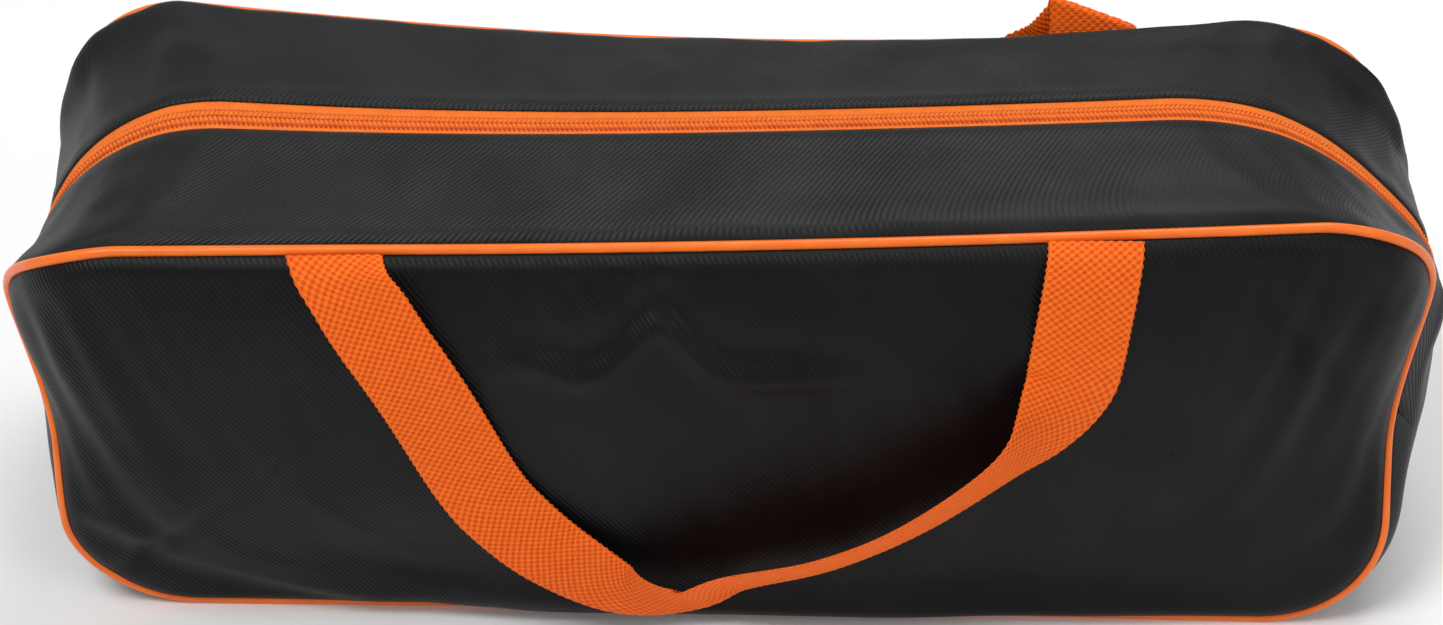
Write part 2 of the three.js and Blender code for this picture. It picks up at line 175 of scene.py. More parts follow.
def settle(x, y, z):
    """How the filled bag leans, sags and turns away from a true box."""
    s, t, v = x / HALF_LENGTH, z / HEIGHT, y / HALF_DEPTH
    seam = v * v
    end = smooth(0.5, 1, np.abs(s))
    front, right = v < 0, x > 0
    front_left, front_right = front & ~right, front & right
    waist = np.sin(math.pi * np.clip(t / 0.8, 0, 1))
    ear = smooth(0.42, 0.8, t) * np.where(front_left, 9, 7) - waist * np.where(front_left, 0.5, 1)
    foot = np.where(front_right, 1.5 * (1 - smooth(0, 0.5, t)), 0)
    corner = np.clip((np.abs(x) - (HALF_LENGTH - SEAM_CORNER)) / SEAM_CORNER, 0, 1.15) ** 3
    lean = np.where(front, np.where(right, 15, 22), -6)
    taper = np.where(front, 5.7, 8)
    turned = np.where(right, 6, 3.6) * (1 - smooth(0, 0.45, t))
    sag = (2.5 + 6 * smooth(-0.6, 1, v)) * np.maximum(0, 1 - (s / 0.82) ** 2)
    tilt = -2.4 * (1 - seam) * (1 - smooth(-0.6, 0.5, s))
    low = np.where(right, 1 - smooth(0.1, 0.46, t), 1 - smooth(0.1, 0.42, t))
    belly_end = end * (1 - seam) * low * np.where(right, 13, 4)
    return np.stack([
        x + np.sign(x) * (end * seam * (ear + foot) - belly_end),
        y + corner * smooth(0.2, 0.78, t) * seam * lean - taper * v * s * t - turned * s,
        z + tilt * smooth(0.2, 0.6, t) - sag * t * t - np.where(front_left, end * seam * t, 0),
    ], axis=-1)


def gusset(u, v):
    x, z = outline(u, v)
    x = x + RIGHT_RISE * swell(v) * smooth(150, 190, x) * hill(z, RIGHT_RISE_HEIGHT, 16)
    return settle(x, np.broadcast_to(np.asarray(v, float) * HALF_DEPTH, x.shape), z)


def even_places(v, step):
    """Places u from end seam to end seam over the top at even steps, and the length up to each."""
    dense = np.linspace(END_SEAM, 1 - END_SEAM, 4000)
    steps = np.linalg.norm(np.diff(gusset(dense, np.full(4000, v)), axis=0), axis=1)
    lengths = np.concatenate([[0], np.cumsum(steps)])
    wanted = np.linspace(0, lengths[-1], round(lengths[-1] / step) + 1)
    return np.interp(wanted, lengths, dense), wanted


def belly(x, z, size):
    """How far a panel stands out; less near the base beyond the middle stretch."""
    flat = 0.45 * smooth(0.22, 0.5, np.abs(x / HALF_LENGTH)) * smooth(0.5, 0.05, z / HEIGHT)
    ends = 1 - 0.25 * smooth(0.5, 0.95, np.abs(x / HALF_LENGTH))
    return PANEL_BULGE * np.sqrt(np.clip(1 - size ** 2.4, 0, 1)) * (1 - flat) * ends


def panel(u, size, side):
    """A point of the front (side -1) or back (side 1) panel. size 1 is the seam, and size 0 is
    a line along the panel's middle."""
    x, z = outline(u, side)
    reach = HALF_LENGTH - HEIGHT / 2
    middle_x, middle_z = np.clip(x, -reach, reach), HEIGHT / 2
    px = middle_x + (x - middle_x) * size
    pz = middle_z + (z - middle_z) * size
    point = settle(px, np.full(px.shape, side * HALF_DEPTH), pz)
    point[..., 1] += side * belly(px, pz, size)
    return point


# --- Mesh helpers -------------------------------------------------------------------------

def new_object(name, points, faces, material):
    mesh = bpy.data.meshes.new(name)
    mesh.from_pydata(to_frame(points).tolist(), [], faces)
    mesh.update()
    mesh.polygons.foreach_set("use_smooth", [True] * len(mesh.polygons))
    obj = bpy.data.objects.new(name, mesh)
    bpy.context.collection.objects.link(obj)
    mesh.materials.append(material)
    return obj


def store(obj, name, values):
    """Keeps a number or a vector with every point of a mesh, for its material."""
    values = np.asarray(values, float)
    if values.ndim == 1:
        data = obj.data.attributes.new(name, "FLOAT", "POINT").data
        data.foreach_set("value", values)
    else:
        full = np.zeros((len(values), 3))
        full[:, :values.shape[1]] = values
        data = obj.data.attributes.new(name, "FLOAT_VECTOR", "POINT").data
        data.foreach_set("vector", full.ravel())


def read_points(mesh):
    points = np.empty(len(mesh.vertices) * 3)
    mesh.vertices.foreach_get("co", points)
    return points.reshape(-1, 3)


def read_attribute(obj, name):
    values = np.empty(len(obj.data.vertices))
    obj.data.attributes[name].data.foreach_get("value", values)
    return values


def weld(obj):
    """Joins points that lie on each other, and drops what collapses."""
    work = bmesh.new()
    work.from_mesh(obj.data)
    bmesh.ops.remove_doubles(work, verts=work.verts, dist=0.00005)
    bmesh.ops.recalc_face_normals(work, faces=work.faces)
    work.to_mesh(obj.data)
    work.free()
    obj.data.polygons.foreach_set("use_smooth", [True] * len(obj.data.polygons))


def grid_faces(rows, columns, close_rows=False, close_columns=False, flip=False):
    faces = []
    for i in range(rows if close_rows else rows - 1):
        for j in range(columns if close_columns else columns - 1):
            a, b = i * columns + j, i * columns + (j + 1) % columns
            k = (i + 1) % rows * columns
            face = (a, b, k + (j + 1) % columns, k + j)
            faces.append(face[::-1] if flip else face)
    return faces


def sheet(name, points, cloth, material):
    """A grid of points as one sheet, keeping each point's place on the flat cloth."""
    rows, columns = points.shape[:2]
    obj = new_object(name, points.reshape(-1, 3), grid_faces(rows, columns), material)
    store(obj, "cloth", cloth.reshape(-1, 2))
    return obj


def add_modifier(obj, kind, **settings):
    modifier = obj.modifiers.new(kind.title(), kind)
    for key, value in settings.items():
        setattr(modifier, key, value)
    return modifier


def around(start, stop, step):
    count = max(2, round((stop - start) * ROUND / step))
    return np.linspace(start, stop, count + 1)


# --- Materials ----------------------------------------------------------------------------

class Look:
    """A Principled material with helpers for its few nodes."""

    def __init__(self, name, color, roughness, metallic=0.0):
        self.material = bpy.data.materials.new(name)
        self.material.use_nodes = True
        self.tree = self.material.node_tree
        self.shader = self.tree.nodes["Principled BSDF"]
        self.shader.inputs["Base Color"].default_value = (*color, 1)
        self.shader.inputs["Roughness"].default_value = roughness
        self.shader.inputs["Metallic"].default_value = metallic

    def node(self, kind, **values):
        node = self.tree.nodes.new(kind)
        for key, value in values.items():
            if key in node.inputs:
                self.put(node.inputs[key], value)
            else:
                setattr(node, key, value)
        return node

    def put(self, socket, value):
        if isinstance(value, bpy.types.NodeSocket):
            self.tree.links.new(value, socket)
        else:
            socket.default_value = value

    def math(self, operation, a, b=0.0):
        node = self.tree.nodes.new("ShaderNodeMath")
        node.operation = operation
        self.put(node.inputs[0], a)
        self.put(node.inputs[1], b)
        return node.outputs[0]

    def wave(self, value, pitch):
        return self.math("SINE", self.math("MULTIPLY", value, 2 * math.pi / pitch))

    def attribute(self, name, output="Fac"):
        return self.node("ShaderNodeAttribute", attribute_name=name).outputs[output]

    def noise(self, vector, scale, detail):
        node = self.node("ShaderNodeTexNoise", Vector=vector, Scale=scale, Detail=detail)
        return node.outputs["Fac"]

    def ramp(self, value, stops):
        node = self.node("ShaderNodeValToRGB", Fac=value)
        ramp = node.color_ramp
        while len(ramp.elements) < len(stops):
            ramp.elements.new(0.5)
        for element, (position, color) in zip(ramp.elements, stops):
            element.position = position
            element.color = (*color, 1)
        return node.outputs["Color"]

    def between(self, value, low, high):
        node = self.node("ShaderNodeMapRange", Value=value)
        node.inputs["To Min"].default_value = low
        node.inputs["To Max"].default_value = high
        return node.outputs[0]

    def bump(self, height, distance, strength):
        node = self.node("ShaderNodeBump", Height=height, Strength=strength, Distance=distance)
        self.put(self.shader.inputs["Normal"], node.outputs[0])


def cloth_axes(look):
    parts = look.node("ShaderNodeSeparateXYZ", Vector=look.attribute("cloth", "Vector"))
    return parts.outputs[0], parts.outputs[1]


def oxford(name, dark, light, sheen, specular):
    """Woven polyester cloth: a plain weave with a faint twill line, painted lighter on the raised
    threads and darker between them as shade, and slightly uneven dye.
    """
    look = Look(name, dark, 0.6)
    along, across = cloth_axes(look)
    vector = look.attribute("cloth", "Vector")
    weft = look.wave(along, THREAD)
    warp = look.wave(across, THREAD)
    weave = look.math("MULTIPLY", weft, warp)
    diagonal = look.math("ADD", along, look.math("MULTIPLY", across, 0.8))
    twill = look.wave(diagonal, TWILL)
    height = look.math("ADD", look.math("MULTIPLY", weave, 0.7), look.math("MULTIPLY", twill, 0.3))
    fine = look.noise(vector, 2.2, 4)
    # Painted shade and highlight: the weave's relief lightens the colour on the raised threads and
    # darkens it between them.
    tone = look.math("ADD", look.math("MULTIPLY", height, 0.12), look.noise(vector, 0.035, 3))
    tone = look.math("ADD", tone, look.math("MULTIPLY", look.math("SUBTRACT", fine, 0.5), 0.5))
    look.put(look.shader.inputs["Base Color"], look.ramp(tone, [(0.25, dark), (0.8, light)]))
    look.put(look.shader.inputs["Roughness"], look.between(fine, 0.38, 0.55))
    look.shader.inputs["Sheen Weight"].default_value = sheen
    look.shader.inputs["Sheen Roughness"].default_value = 0.4
    look.shader.inputs["Specular IOR Level"].default_value = specular
    look.bump(look.math("ADD", twill, fine), 0.00004, 1.0)
    return look.material


def pvc():
    """The piping's glossy plastic sleeve, with faint handling marks."""
    look = Look("piping_pvc", (0.9, 0.2, 0.025), 0.3)
    vector = look.attribute("cloth", "Vector")
    cloud = look.noise(vector, 0.12, 4)
    look.put(look.shader.inputs["Base Color"],
             look.ramp(cloud, [(0.3, (0.9, 0.15, 0.009)), (0.7, (0.96, 0.19, 0.014))]))
    look.put(look.shader.inputs["Roughness"], look.between(look.noise(vector, 0.8, 3), 0.24, 0.4))
    look.shader.inputs["Specular IOR Level"].default_value = 0.4
    look.bump(look.noise(vector, 0.5, 3), 0.0002, 0.5)
    return look.material


def orange_yarn(name, deep, bright, pitch):
    """Dyed yarn with filament lines, and painted shade: darker where the relief dips between the yarns
    and lighter on their tops.
    """
    look = Look(name, bright, 0.6)
    along = cloth_axes(look)[0]
    vector = look.attribute("cloth", "Vector")
    # Painted shade: the stored shade value darkens the colour where the relief dips and lightens it on
    # the tops.
    cavity_shade = look.attribute("cavity_shade")
    fibre = look.wave(along, pitch)
    tone = look.math("ADD", cavity_shade, look.math("MULTIPLY", fibre, 0.06))
    cloud = look.math("SUBTRACT", look.noise(vector, 0.25, 4), 0.5)
    tone = look.math("ADD", tone, look.math("MULTIPLY", cloud, 0.3))
    look.put(look.shader.inputs["Base Color"], look.ramp(tone, [(0.1, deep), (0.75, bright)]))
    look.put(look.shader.inputs["Roughness"], look.between(look.noise(vector, 1.5, 3), 0.5, 0.75))
    look.shader.inputs["Specular IOR Level"].default_value = 0.2
    look.bump(look.math("ADD", fibre, look.noise(vector, 3.0, 2)), 0.00006, 0.7)
    return look.material


def plated():
    look = Look("plated_zinc", (0.62, 0.62, 0.64), 0.3, 1.0)
    where = look.node("ShaderNodeTexCoord").outputs["Object"]
    marks = look.noise(where, 900, 4)
    look.put(look.shader.inputs["Roughness"], look.between(marks, 0.22, 0.45))
    look.put(look.shader.inputs["Base Color"],
             look.ramp(look.noise(where, 300, 3), [(0.3, (0.5, 0.5, 0.52)), (0.7, (0.72, 0.72, 0.74))]))
    look.bump(marks, 0.00003, 0.5)
    return look.material


def inner_cloth(name, dark, light):
    """Plain cloth for pieces without a flat layout, woven by position."""
    look = Look(name, dark, 0.8)
    where = look.node("ShaderNodeTexCoord").outputs["Object"]
    parts = look.node("ShaderNodeSeparateXYZ", Vector=where)
    threads = [look.wave(parts.outputs[i], 0.0008) for i in range(3)]
    height = look.math("ADD", look.math("ADD", threads[0], threads[1]), threads[2])
    cloud = look.noise(where, 60, 4)
    look.put(look.shader.inputs["Base Color"], look.ramp(cloud, [(0.3, dark), (0.75, light)]))
    look.put(look.shader.inputs["Roughness"], look.between(cloud, 0.7, 0.9))
    look.bump(height, 0.0001, 0.5)
    return look.material


# Panels and gussets are one black oxford: the gusset copy is painted several times lighter as the light
# on the top, the panel copy darker as painted shade.
SHADED_PANEL_CLOTH = oxford("panel_cloth", (0.0012, 0.0012, 0.0015), (0.0066, 0.0066, 0.0077), 0.0, 0.17)
LIT_GUSSET_CLOTH = oxford("gusset_cloth", (0.0045, 0.0046, 0.0051), (0.015, 0.0153, 0.0167), 0.02, 0.21)
PIPING = pvc()
# The first colour of each is the painted shade in the hollows of the weave and coil, the second the lit
# tops.
WEBBING = orange_yarn("webbing_yarn", (0.72, 0.055, 0.002), (1.0, 0.19, 0.009), 0.45)
TAPE = orange_yarn("zip_tape_yarn", (0.4, 0.025, 0.002), (0.97, 0.22, 0.025), 0.5)
METAL = plated()
BINDING_CLOTH = inner_cloth("binding_cloth", (0.012, 0.012, 0.013), (0.035, 0.035, 0.037))
LINER_CLOTH = inner_cloth("liner_cloth", (0.02, 0.021, 0.024), (0.05, 0.052, 0.058))


# --- Shell --------------------------------------------------------------------------------

def smoothed(values, edges, rounds):
    """Values of a mesh's points, each evened out with its neighbours some rounds."""
    neighbours = np.bincount(edges.ravel(), minlength=len(values))
    for _ in range(rounds):
        total = np.zeros(len(values))
        np.add.at(total, edges[:, 0], values[edges[:, 1]])
        np.add.at(total, edges[:, 1], values[edges[:, 0]])
        values = 0.5 * values + 0.5 * total / np.maximum(neighbours, 1)
    return values


def run_cloth(obj, cloth, frames):
    """Where the points lie after some frames of a cloth simulation, which is then taken off."""
    cloth.point_cache.frame_start, cloth.point_cache.frame_end = 1, frames
    for frame_number in range(1, frames + 1):
        bpy.context.scene.frame_set(frame_number)
    shape = obj.evaluated_get(bpy.context.evaluated_depsgraph_get())
    points = read_points(shape.data)
    obj.modifiers.remove(cloth)
    bpy.context.scene.frame_set(1)
    return points


def drape(obj, held, slack):
    """Where the points lie once the sheet has settled as slack cloth between its held edges."""
    weights = obj.vertex_groups.new(name="held")
    weights.add(np.flatnonzero(held > 0.5).tolist(), 1.0, "REPLACE")
    cloth = add_modifier(obj, "CLOTH")
    cloth.settings.quality = 6
    cloth.settings.mass = 0.15
    cloth.settings.tension_stiffness = 15
    cloth.settings.compression_stiffness = 15
    cloth.settings.shear_stiffness = 5
    cloth.settings.bending_stiffness = 0.05
    cloth.settings.vertex_group_mass = "held"
    cloth.settings.shrink_min = -slack
    cloth.settings.use_pressure = True
    cloth.settings.uniform_pressure_force = 0.3
    cloth.settings.effector_weights.gravity = 0.4
    cloth.collision_settings.use_self_collision = False
    points = run_cloth(obj, cloth, SETTLING_FRAMES)
    obj.vertex_groups.remove(weights)
    return points


def wrinkle(obj, held, outside, folds, slack, depth, most_out, most_in):
    """Gives a sheet the wrinkles of its cloth simulation, and its own folds, in millimetres.
    outside is a direction for each point that its outer face looks towards."""
    mesh = obj.data
    rest = read_points(mesh)
    normals = np.empty(rest.size)
    mesh.vertices.foreach_get("normal", normals)
    normals = normals.reshape(-1, 3)
    normals *= np.sign(np.sum(normals * outside, axis=1, keepdims=True))
    height = np.zeros(len(rest))
    moved = np.sum((drape(obj, held, slack) - rest) * normals, axis=1) / METRES
    edges = np.empty(len(mesh.edges) * 2, int)
    mesh.edges.foreach_get("vertices", edges)
    edges = edges.reshape(-1, 2)
    height = smoothed(moved, edges, 1) - smoothed(moved, edges, 40)
    height *= depth / np.std(height)
    height = (np.clip(height, -most_in, most_out) + folds) * (1 - held)
    mesh.vertices.foreach_set("co", (rest + normals * height[:, None] * METRES).ravel())
    mesh.update()


def finish_cloth(obj, node):
    add_modifier(obj, "SUBSURF", levels=1, render_levels=1)
    add_modifier(obj, "SOLIDIFY", thickness=FABRIC * METRES, offset=-1.0)
    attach(obj, "bag")
    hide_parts(node)


def panel_folds(x, z):
    """Puckers and a wavy ridge where the filling pulls at the top seam, a dent and a fold at
    the corners, and cloth that sags over the base's middle."""
    below = HEIGHT - 3 - z
    pucker = np.sin((x + 0.5 * z) / 1.8 + np.sin(x / 9)) * hill(x, -35, 28) * hill(below, 10, 8)
    crest = 93 + 16 * hill(x, -17, 11) + 6 * hill(x, -52, 10)
    ridge = hill(z - crest, 0, 3.6) * smooth(-66, -46, x) * smooth(52, 16, x)
    hollow = hill(z - crest, 8, 4) * smooth(-60, -40, x) * smooth(40, 8, x)
    drag = np.sin((x + 0.9 * z) / 6.5) * hill(x, 60, 40) * hill(below, 30, 16)
    corner = hill((x - 158) + 0.75 * (z - 95), 0, 4.5) * hill(z, 98, 24)
    lower = hill((x + 160) - 0.9 * (z - 24), 0, 4) * hill(z, 26, 16)
    overhang = hill(z, 7, 7) * smooth(150, 90, np.abs(x))
    return (0.7 * pucker + 2.4 * ridge - 1.8 * hollow + 0.6 * drag
            - 2.2 * corner - 1.6 * lower + 1.7 * overhang)


def make_panel(name, node, side):
    half = around(0, 0.5, PANEL_STEP)
    us = np.concatenate([half, (1 - half[::-1])[1:-1]])  # the same places on the left and right
    sizes = np.linspace(0, 1, 26)
    points = panel(us[None, :], sizes[:, None], side)
    rows, columns = points.shape[:2]
    flat = np.stack([points[..., 0], points[..., 2]], axis=-1)
    faces = grid_faces(rows, columns, close_columns=True, flip=side < 0)
    obj = new_object(name, points.reshape(-1, 3), faces, SHADED_PANEL_CLOTH)
    store(obj, "cloth", flat.reshape(-1, 2))
    held = np.broadcast_to(np.clip((sizes - 0.96) / 0.03, 0, 1)[:, None], (rows, columns))
    store(obj, "held", held.ravel())
    weld(obj)
    held = read_attribute(obj, "held")
    local = (read_points(obj.data) - SHIFT) / METRES
    folds = panel_folds(-side * local[:, 0], local[:, 2])
    wrinkle(obj, held, np.array([0, side, 0.0]), folds,
            slack=0.012, depth=0.75, most_out=0.9, most_in=2.6)
    finish_cloth(obj, node)


def seam_ridges(v, v0, v1):
    """The folded seam allowances that show through beside the piping, and beside the zip."""
    ridge = np.zeros(v.shape)
    for edge in (v0, v1):
        away = np.abs(v - edge) * HALF_DEPTH
        width = 12 if abs(edge) == 1 else 7
        ridge += (0.45 if abs(edge) == 1 else 0.3) * smooth(width + 1.5, width - 1.5, away)
    return ridge


def gusset_folds(points, flat, v0, v1):
    """Ridges beside the seams, shallow puckers on top, and the swelling in front of the back
    piping's corners."""
    x, z = points[:, 0], points[:, 2]
    along, across = flat[:, 0], flat[:, 1]
    top = smooth(HEIGHT - 30, HEIGHT - 8, z)
    reach = hill(across, -38, 16) + hill(across, 38, 14)
    folds = seam_ridges(across / HALF_DEPTH, v0, v1)
    folds = folds + 0.6 * top * np.sin((along + 0.5 * across) / 7.5) * hill(x, 2, 60) * reach
    right = smooth(60, 155, x) * (2.2 * smooth(45, 75, z) + 2.8 * hill(z, 116, 9))
    left = smooth(146, 162, -x) * (1.0 * smooth(60, 85, z) + 2.6 * hill(z, 118, 8))
    return folds + (right + left) * hill(across, 49, 4.5)


def make_gusset(name, node, u0, u1, v0, v1):
    over_top = v1 - v0 < 1.5
    us = around(u0, u1, GUSSET_STEP)
    lengths = us * ROUND
    if over_top:
        us, lengths = even_places(0, GUSSET_STEP)
    vs = np.linspace(v0, v1, max(3, round((v1 - v0) * HALF_DEPTH / 3) + 1))
    points = gusset(us[:, None], vs[None, :])
    flat = np.stack(np.broadcast_arrays(lengths[:, None], vs[None, :] * HALF_DEPTH), axis=-1)
    obj = sheet(name, points, flat, LIT_GUSSET_CLOTH)
    held = np.zeros(points.shape[:2])
    held[:, [0, -1]] = 1
    held[[0, -1], :] = 1
    centre = to_frame(np.array([0, 0, HEIGHT / 2]))
    outside = (read_points(obj.data) - centre) * np.array([0.3, 0, 1])
    if over_top:
        folds = gusset_folds(points.reshape(-1, 3), flat.reshape(-1, 2), v0, v1)
        wrinkle(obj, held.ravel(), outside, folds,
                slack=0.012, depth=0.6, most_out=1.4, most_in=2)
    else:
        wrinkle(obj, held.ravel(), outside, 0, slack=0.004, depth=0.2, most_out=0, most_in=0.6)
    finish_cloth(obj, node)


def make_piping(name, node, side):
    us = np.linspace(0, 1, PIPING_PLACES, endpoint=False)
    angles = np.linspace(0, 2 * math.pi, PIPING_SIDES, endpoint=False)
    centre = gusset(us, side)
    along = np.roll(centre, -1, axis=0) - np.roll(centre, 1, axis=0)
    along /= np.linalg.norm(along, axis=1)[:, None]
    y_axis = np.array([0, 1.0, 0])
    depth = y_axis - along * (along @ y_axis)[:, None]
    depth /= np.linalg.norm(depth, axis=1)[:, None]
    out = np.cross(along, depth)
    points = (centre[:, None] + PIPING_RADIUS * (
        out[:, None] * np.cos(angles)[None, :, None] + depth[:, None] * np.sin(angles)[None, :, None]))
    faces = grid_faces(len(us), len(angles), close_rows=True, close_columns=True)
    obj = new_object(name, points.reshape(-1, 3), faces, PIPING)
    flat = np.stack(np.broadcast_arrays(us[:, None] * ROUND, angles[None, :] * PIPING_RADIUS), axis=-1)
    store(obj, "cloth", flat.reshape(-1, 2))
    weld(obj)
    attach(obj, "bag")
    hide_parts(node)


ZIP_V0 = (ZIP_DEPTH - ZIP_FRONT) / HALF_DEPTH
ZIP_V1 = (ZIP_DEPTH + ZIP_BACK) / HALF_DEPTH

make_panel("front_panel_cloth", "front_panel", -1)
make_panel("back_panel_cloth", "back_panel", 1)
make_gusset("front_gusset_cloth", "zip_gusset_front", END_SEAM, 1 - END_SEAM, -1, ZIP_V0)
make_gusset("back_gusset_cloth", "zip_gusset_back", END_SEAM, 1 - END_SEAM, ZIP_V1, 1)
make_gusset("base_gusset_cloth", "base_gusset", -END_SEAM, END_SEAM, -1, 1)
make_piping("front_piping_bead", "front_piping", -1)
make_piping("back_piping_bead", "back_piping", 1)


# --- Zip ----------------------------------------------------------------------------------

def zip_height(along, across):
    """The relief of the closed zip: flat tapes, two rows of coil and a row of stitches each, and a
    painted shade value that is darker between the teeth, at the stitch dents, beside the coil rows and
    down the middle groove.
    """
    height = np.zeros(np.broadcast(along, across).shape)
    # Painted shade: this value starts even on the tapes and is lowered in the zip's grooves and dents.
    cavity_shade = np.full(height.shape, 0.62)
    for side in (-1, 1):
        off = (across - side * 1.25) / 1.2
        hump = np.sqrt(np.clip(1 - off ** 2, 0, 1))
        phase = 2 * math.pi * (along / TOOTH + side * across * 0.32)
        tooth = 0.5 + 0.5 * np.cos(phase)
        height += hump * (0.35 + 0.5 * tooth)
        cavity_shade += hump * (0.5 * tooth - 0.3)
        stitch = np.exp(-((across - side * 3.1) / 0.42) ** 2) * (0.5 - 0.5 * np.cos(phase))
        height -= 0.22 * stitch
        cavity_shade -= 0.7 * stitch + 0.35 * np.exp(-((across - side * 2.5) / 0.3) ** 2)
    cavity_shade -= 0.5 * np.exp(-(across / 0.35) ** 2)
    return height, cavity_shade


def make_zip():
    us, lengths = even_places(ZIP_DEPTH / HALF_DEPTH, ZIP_STEP)
    across = np.concatenate([np.linspace(-ZIP_FRONT - 1.2, -4, 6), np.linspace(-3.7, 3.7, 32),
                             np.linspace(4, ZIP_BACK + 1.2, 6)])
    vs = (ZIP_DEPTH + across) / HALF_DEPTH
    base = gusset(us[:, None], vs[None, :])
    along = lengths[:, None]
    height, cavity_shade = zip_height(along, across[None, :])
    d_u = np.gradient(base, axis=0)
    d_v = np.gradient(base, axis=1)
    normal = np.cross(d_u, d_v)
    normal /= np.linalg.norm(normal, axis=2)[..., None]
    if normal[len(us) // 2, 20, 2] < 0:
        normal = -normal
    sunk = 0.45
    points = base + normal * (height - sunk)[..., None]
    flat = np.stack(np.broadcast_arrays(along, across[None, :]), axis=-1)
    obj = sheet("zip_chain", points, flat, TAPE)
    # The zip's painted shade values go to its material.
    store(obj, "cavity_shade", cavity_shade.ravel())
    add_modifier(obj, "SOLIDIFY", thickness=0.6 * METRES, offset=-1.0)
    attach(obj, "bag")
    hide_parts("zip_coil", "zip_tape_front", "zip_tape_back")


make_zip()


# --- Handles ------------------------------------------------------------------------------

# Each strap's route: X, Z, distance off the panel, roll in degrees. It follows the CAD model,
# and its sewn ends go on up to the piping.
FRONT_ROUTE = [
    (-100.6, 128.5, 0.8, 0), (-99.8, 127, 0.8, 0), (-98, 124, 1.4, 0), (-93.9, 118, 1.6, 0),
    (-88.7, 108.4, 1.1, 0), (-82.7, 97.5, 0.9, 0), (-77, 85.5, 0.8, 0), (-66.3, 60, 0.6, 0),
    (-58, 46.8, 0.8, 0), (-45.5, 33, 1.8, 4), (-28, 20.8, 4.2, 17), (-10, 21.8, 8, 33),
    (3, 30, 9.4, 38), (27.4, 38.4, 10.4, 41), (51, 51.6, 10.6, 43), (74.5, 70, 9, 40),
    (85, 80.5, 5, 22), (90.6, 91, 2.2, 5), (92.3, 99, 1.2, 0), (93.6, 109, 1.1, 0),
    (94.9, 118, 1, 0), (95.9, 124.5, 0.9, 0), (96.3, 127, 0.7, 0), (96.5, 128.4, 0.8, 0),
]
BACK_ROUTE = [
    (-92, 117.4, 1, 0), (-90, 110, 1.6, 0), (-86, 100, 1, 0), (-74, 76, 0.6, 0),
    (-58, 50, 2, -6), (-34, 34, 6, -30), (-6, 32, 10.5, -50), (22, 40, 11.5, -52),
    (48, 58, 11, -46), (66, 80, 7, -26), (84, 102, 3, -6),
]
ROOT_MIDDLE = 107.0
ROOT_FOOT = 118.6
ROOT_TOP = 126.2
ROOT_SLANT = 4.1
ROOT_LEAN = 0.3
ROOT_LEAD = 16  # how far the strap runs straight on from its crease
LEVEL_RUN = 18  # and over which it turns level towards a sewn end
STRAP_STEP = 0.4
WEAVE_ALONG = 1.05
WEAVE_ACROSS = WEB_WIDTH / 20
ACROSS = np.linspace(-1, 1, 61)


def on_panel(x, z, side):
    size = max(abs(x) / HALF_LENGTH, abs(z + 2 - HEIGHT / 2) / (HEIGHT / 2))
    out = PANEL_BULGE * math.sqrt(max(0, 1 - min(1, size) ** 2.4))
    seam = settle(np.array(x), np.array(side * HALF_DEPTH), np.array(z))[1]
    return seam + side * (out + WEB_THICKNESS / 2 + WEB_CLEARANCE)


def spline(points, step):
    """Even steps along a smooth curve through points whose first three numbers are a place."""
    points = np.array(points, float)
    before, after = 2 * points[0] - points[1], 2 * points[-1] - points[-2]
    padded = np.concatenate([[before], points, [after]])
    dense = []
    for i in range(len(points) - 1):
        p0, p1, p2, p3 = padded[i:i + 4]
        for t in np.linspace(0, 1, 40, endpoint=False):
            dense.append(0.5 * (2 * p1 + (p2 - p0) * t + (2 * p0 - 5 * p1 + 4 * p2 - p3) * t ** 2
                                + (3 * p1 - p0 - 3 * p2 + p3) * t ** 3))
    dense = np.array(dense + [points[-1]])
    lengths = np.concatenate([[0], np.cumsum(np.linalg.norm(np.diff(dense[:, :3], axis=0), axis=1))])
    wanted = np.linspace(0, lengths[-1], round(lengths[-1] / step) + 1)
    return np.stack([np.interp(wanted, lengths, dense[:, k]) for k in range(dense.shape[1])], 1), wanted


def unit(vectors):
    return vectors / np.linalg.norm(vectors, axis=-1, keepdims=True)


def strap_route(places, side, sewn_ends):
    """The strap's middle line, its width direction and the length along it."""
    dense, along = spline(places, STRAP_STEP)
    centre = dense[:, :3]
    tangent = unit(np.gradient(centre, axis=0))
    out = unit(np.array([0, side, 0.0]) - tangent * (tangent[:, 1] * side)[:, None])
    roll = np.radians(dense[:, 3])[:, None]
    wide = np.cross(out, tangent) * np.cos(roll) + out * np.sin(roll)
    for end in sewn_ends:
        near = along if end == 0 else along[-1] - along
        level = np.clip(1 - near / LEVEL_RUN, 0, 1)[:, None]
        wide = wide * (1 - level) + np.array([1.0, 0, 0]) * np.sign(wide[:, :1]) * level
    return centre, wide, along


def strap_middle(centre, wide, along):
    """A grid over the strap's middle surface, and each point's place along the strap."""
    middle = centre[:, None] + wide[:, None] * (ACROSS * WEB_WIDTH / 2)[None, :, None]
    return middle, np.broadcast_to(along[:, None], middle.shape[:2])


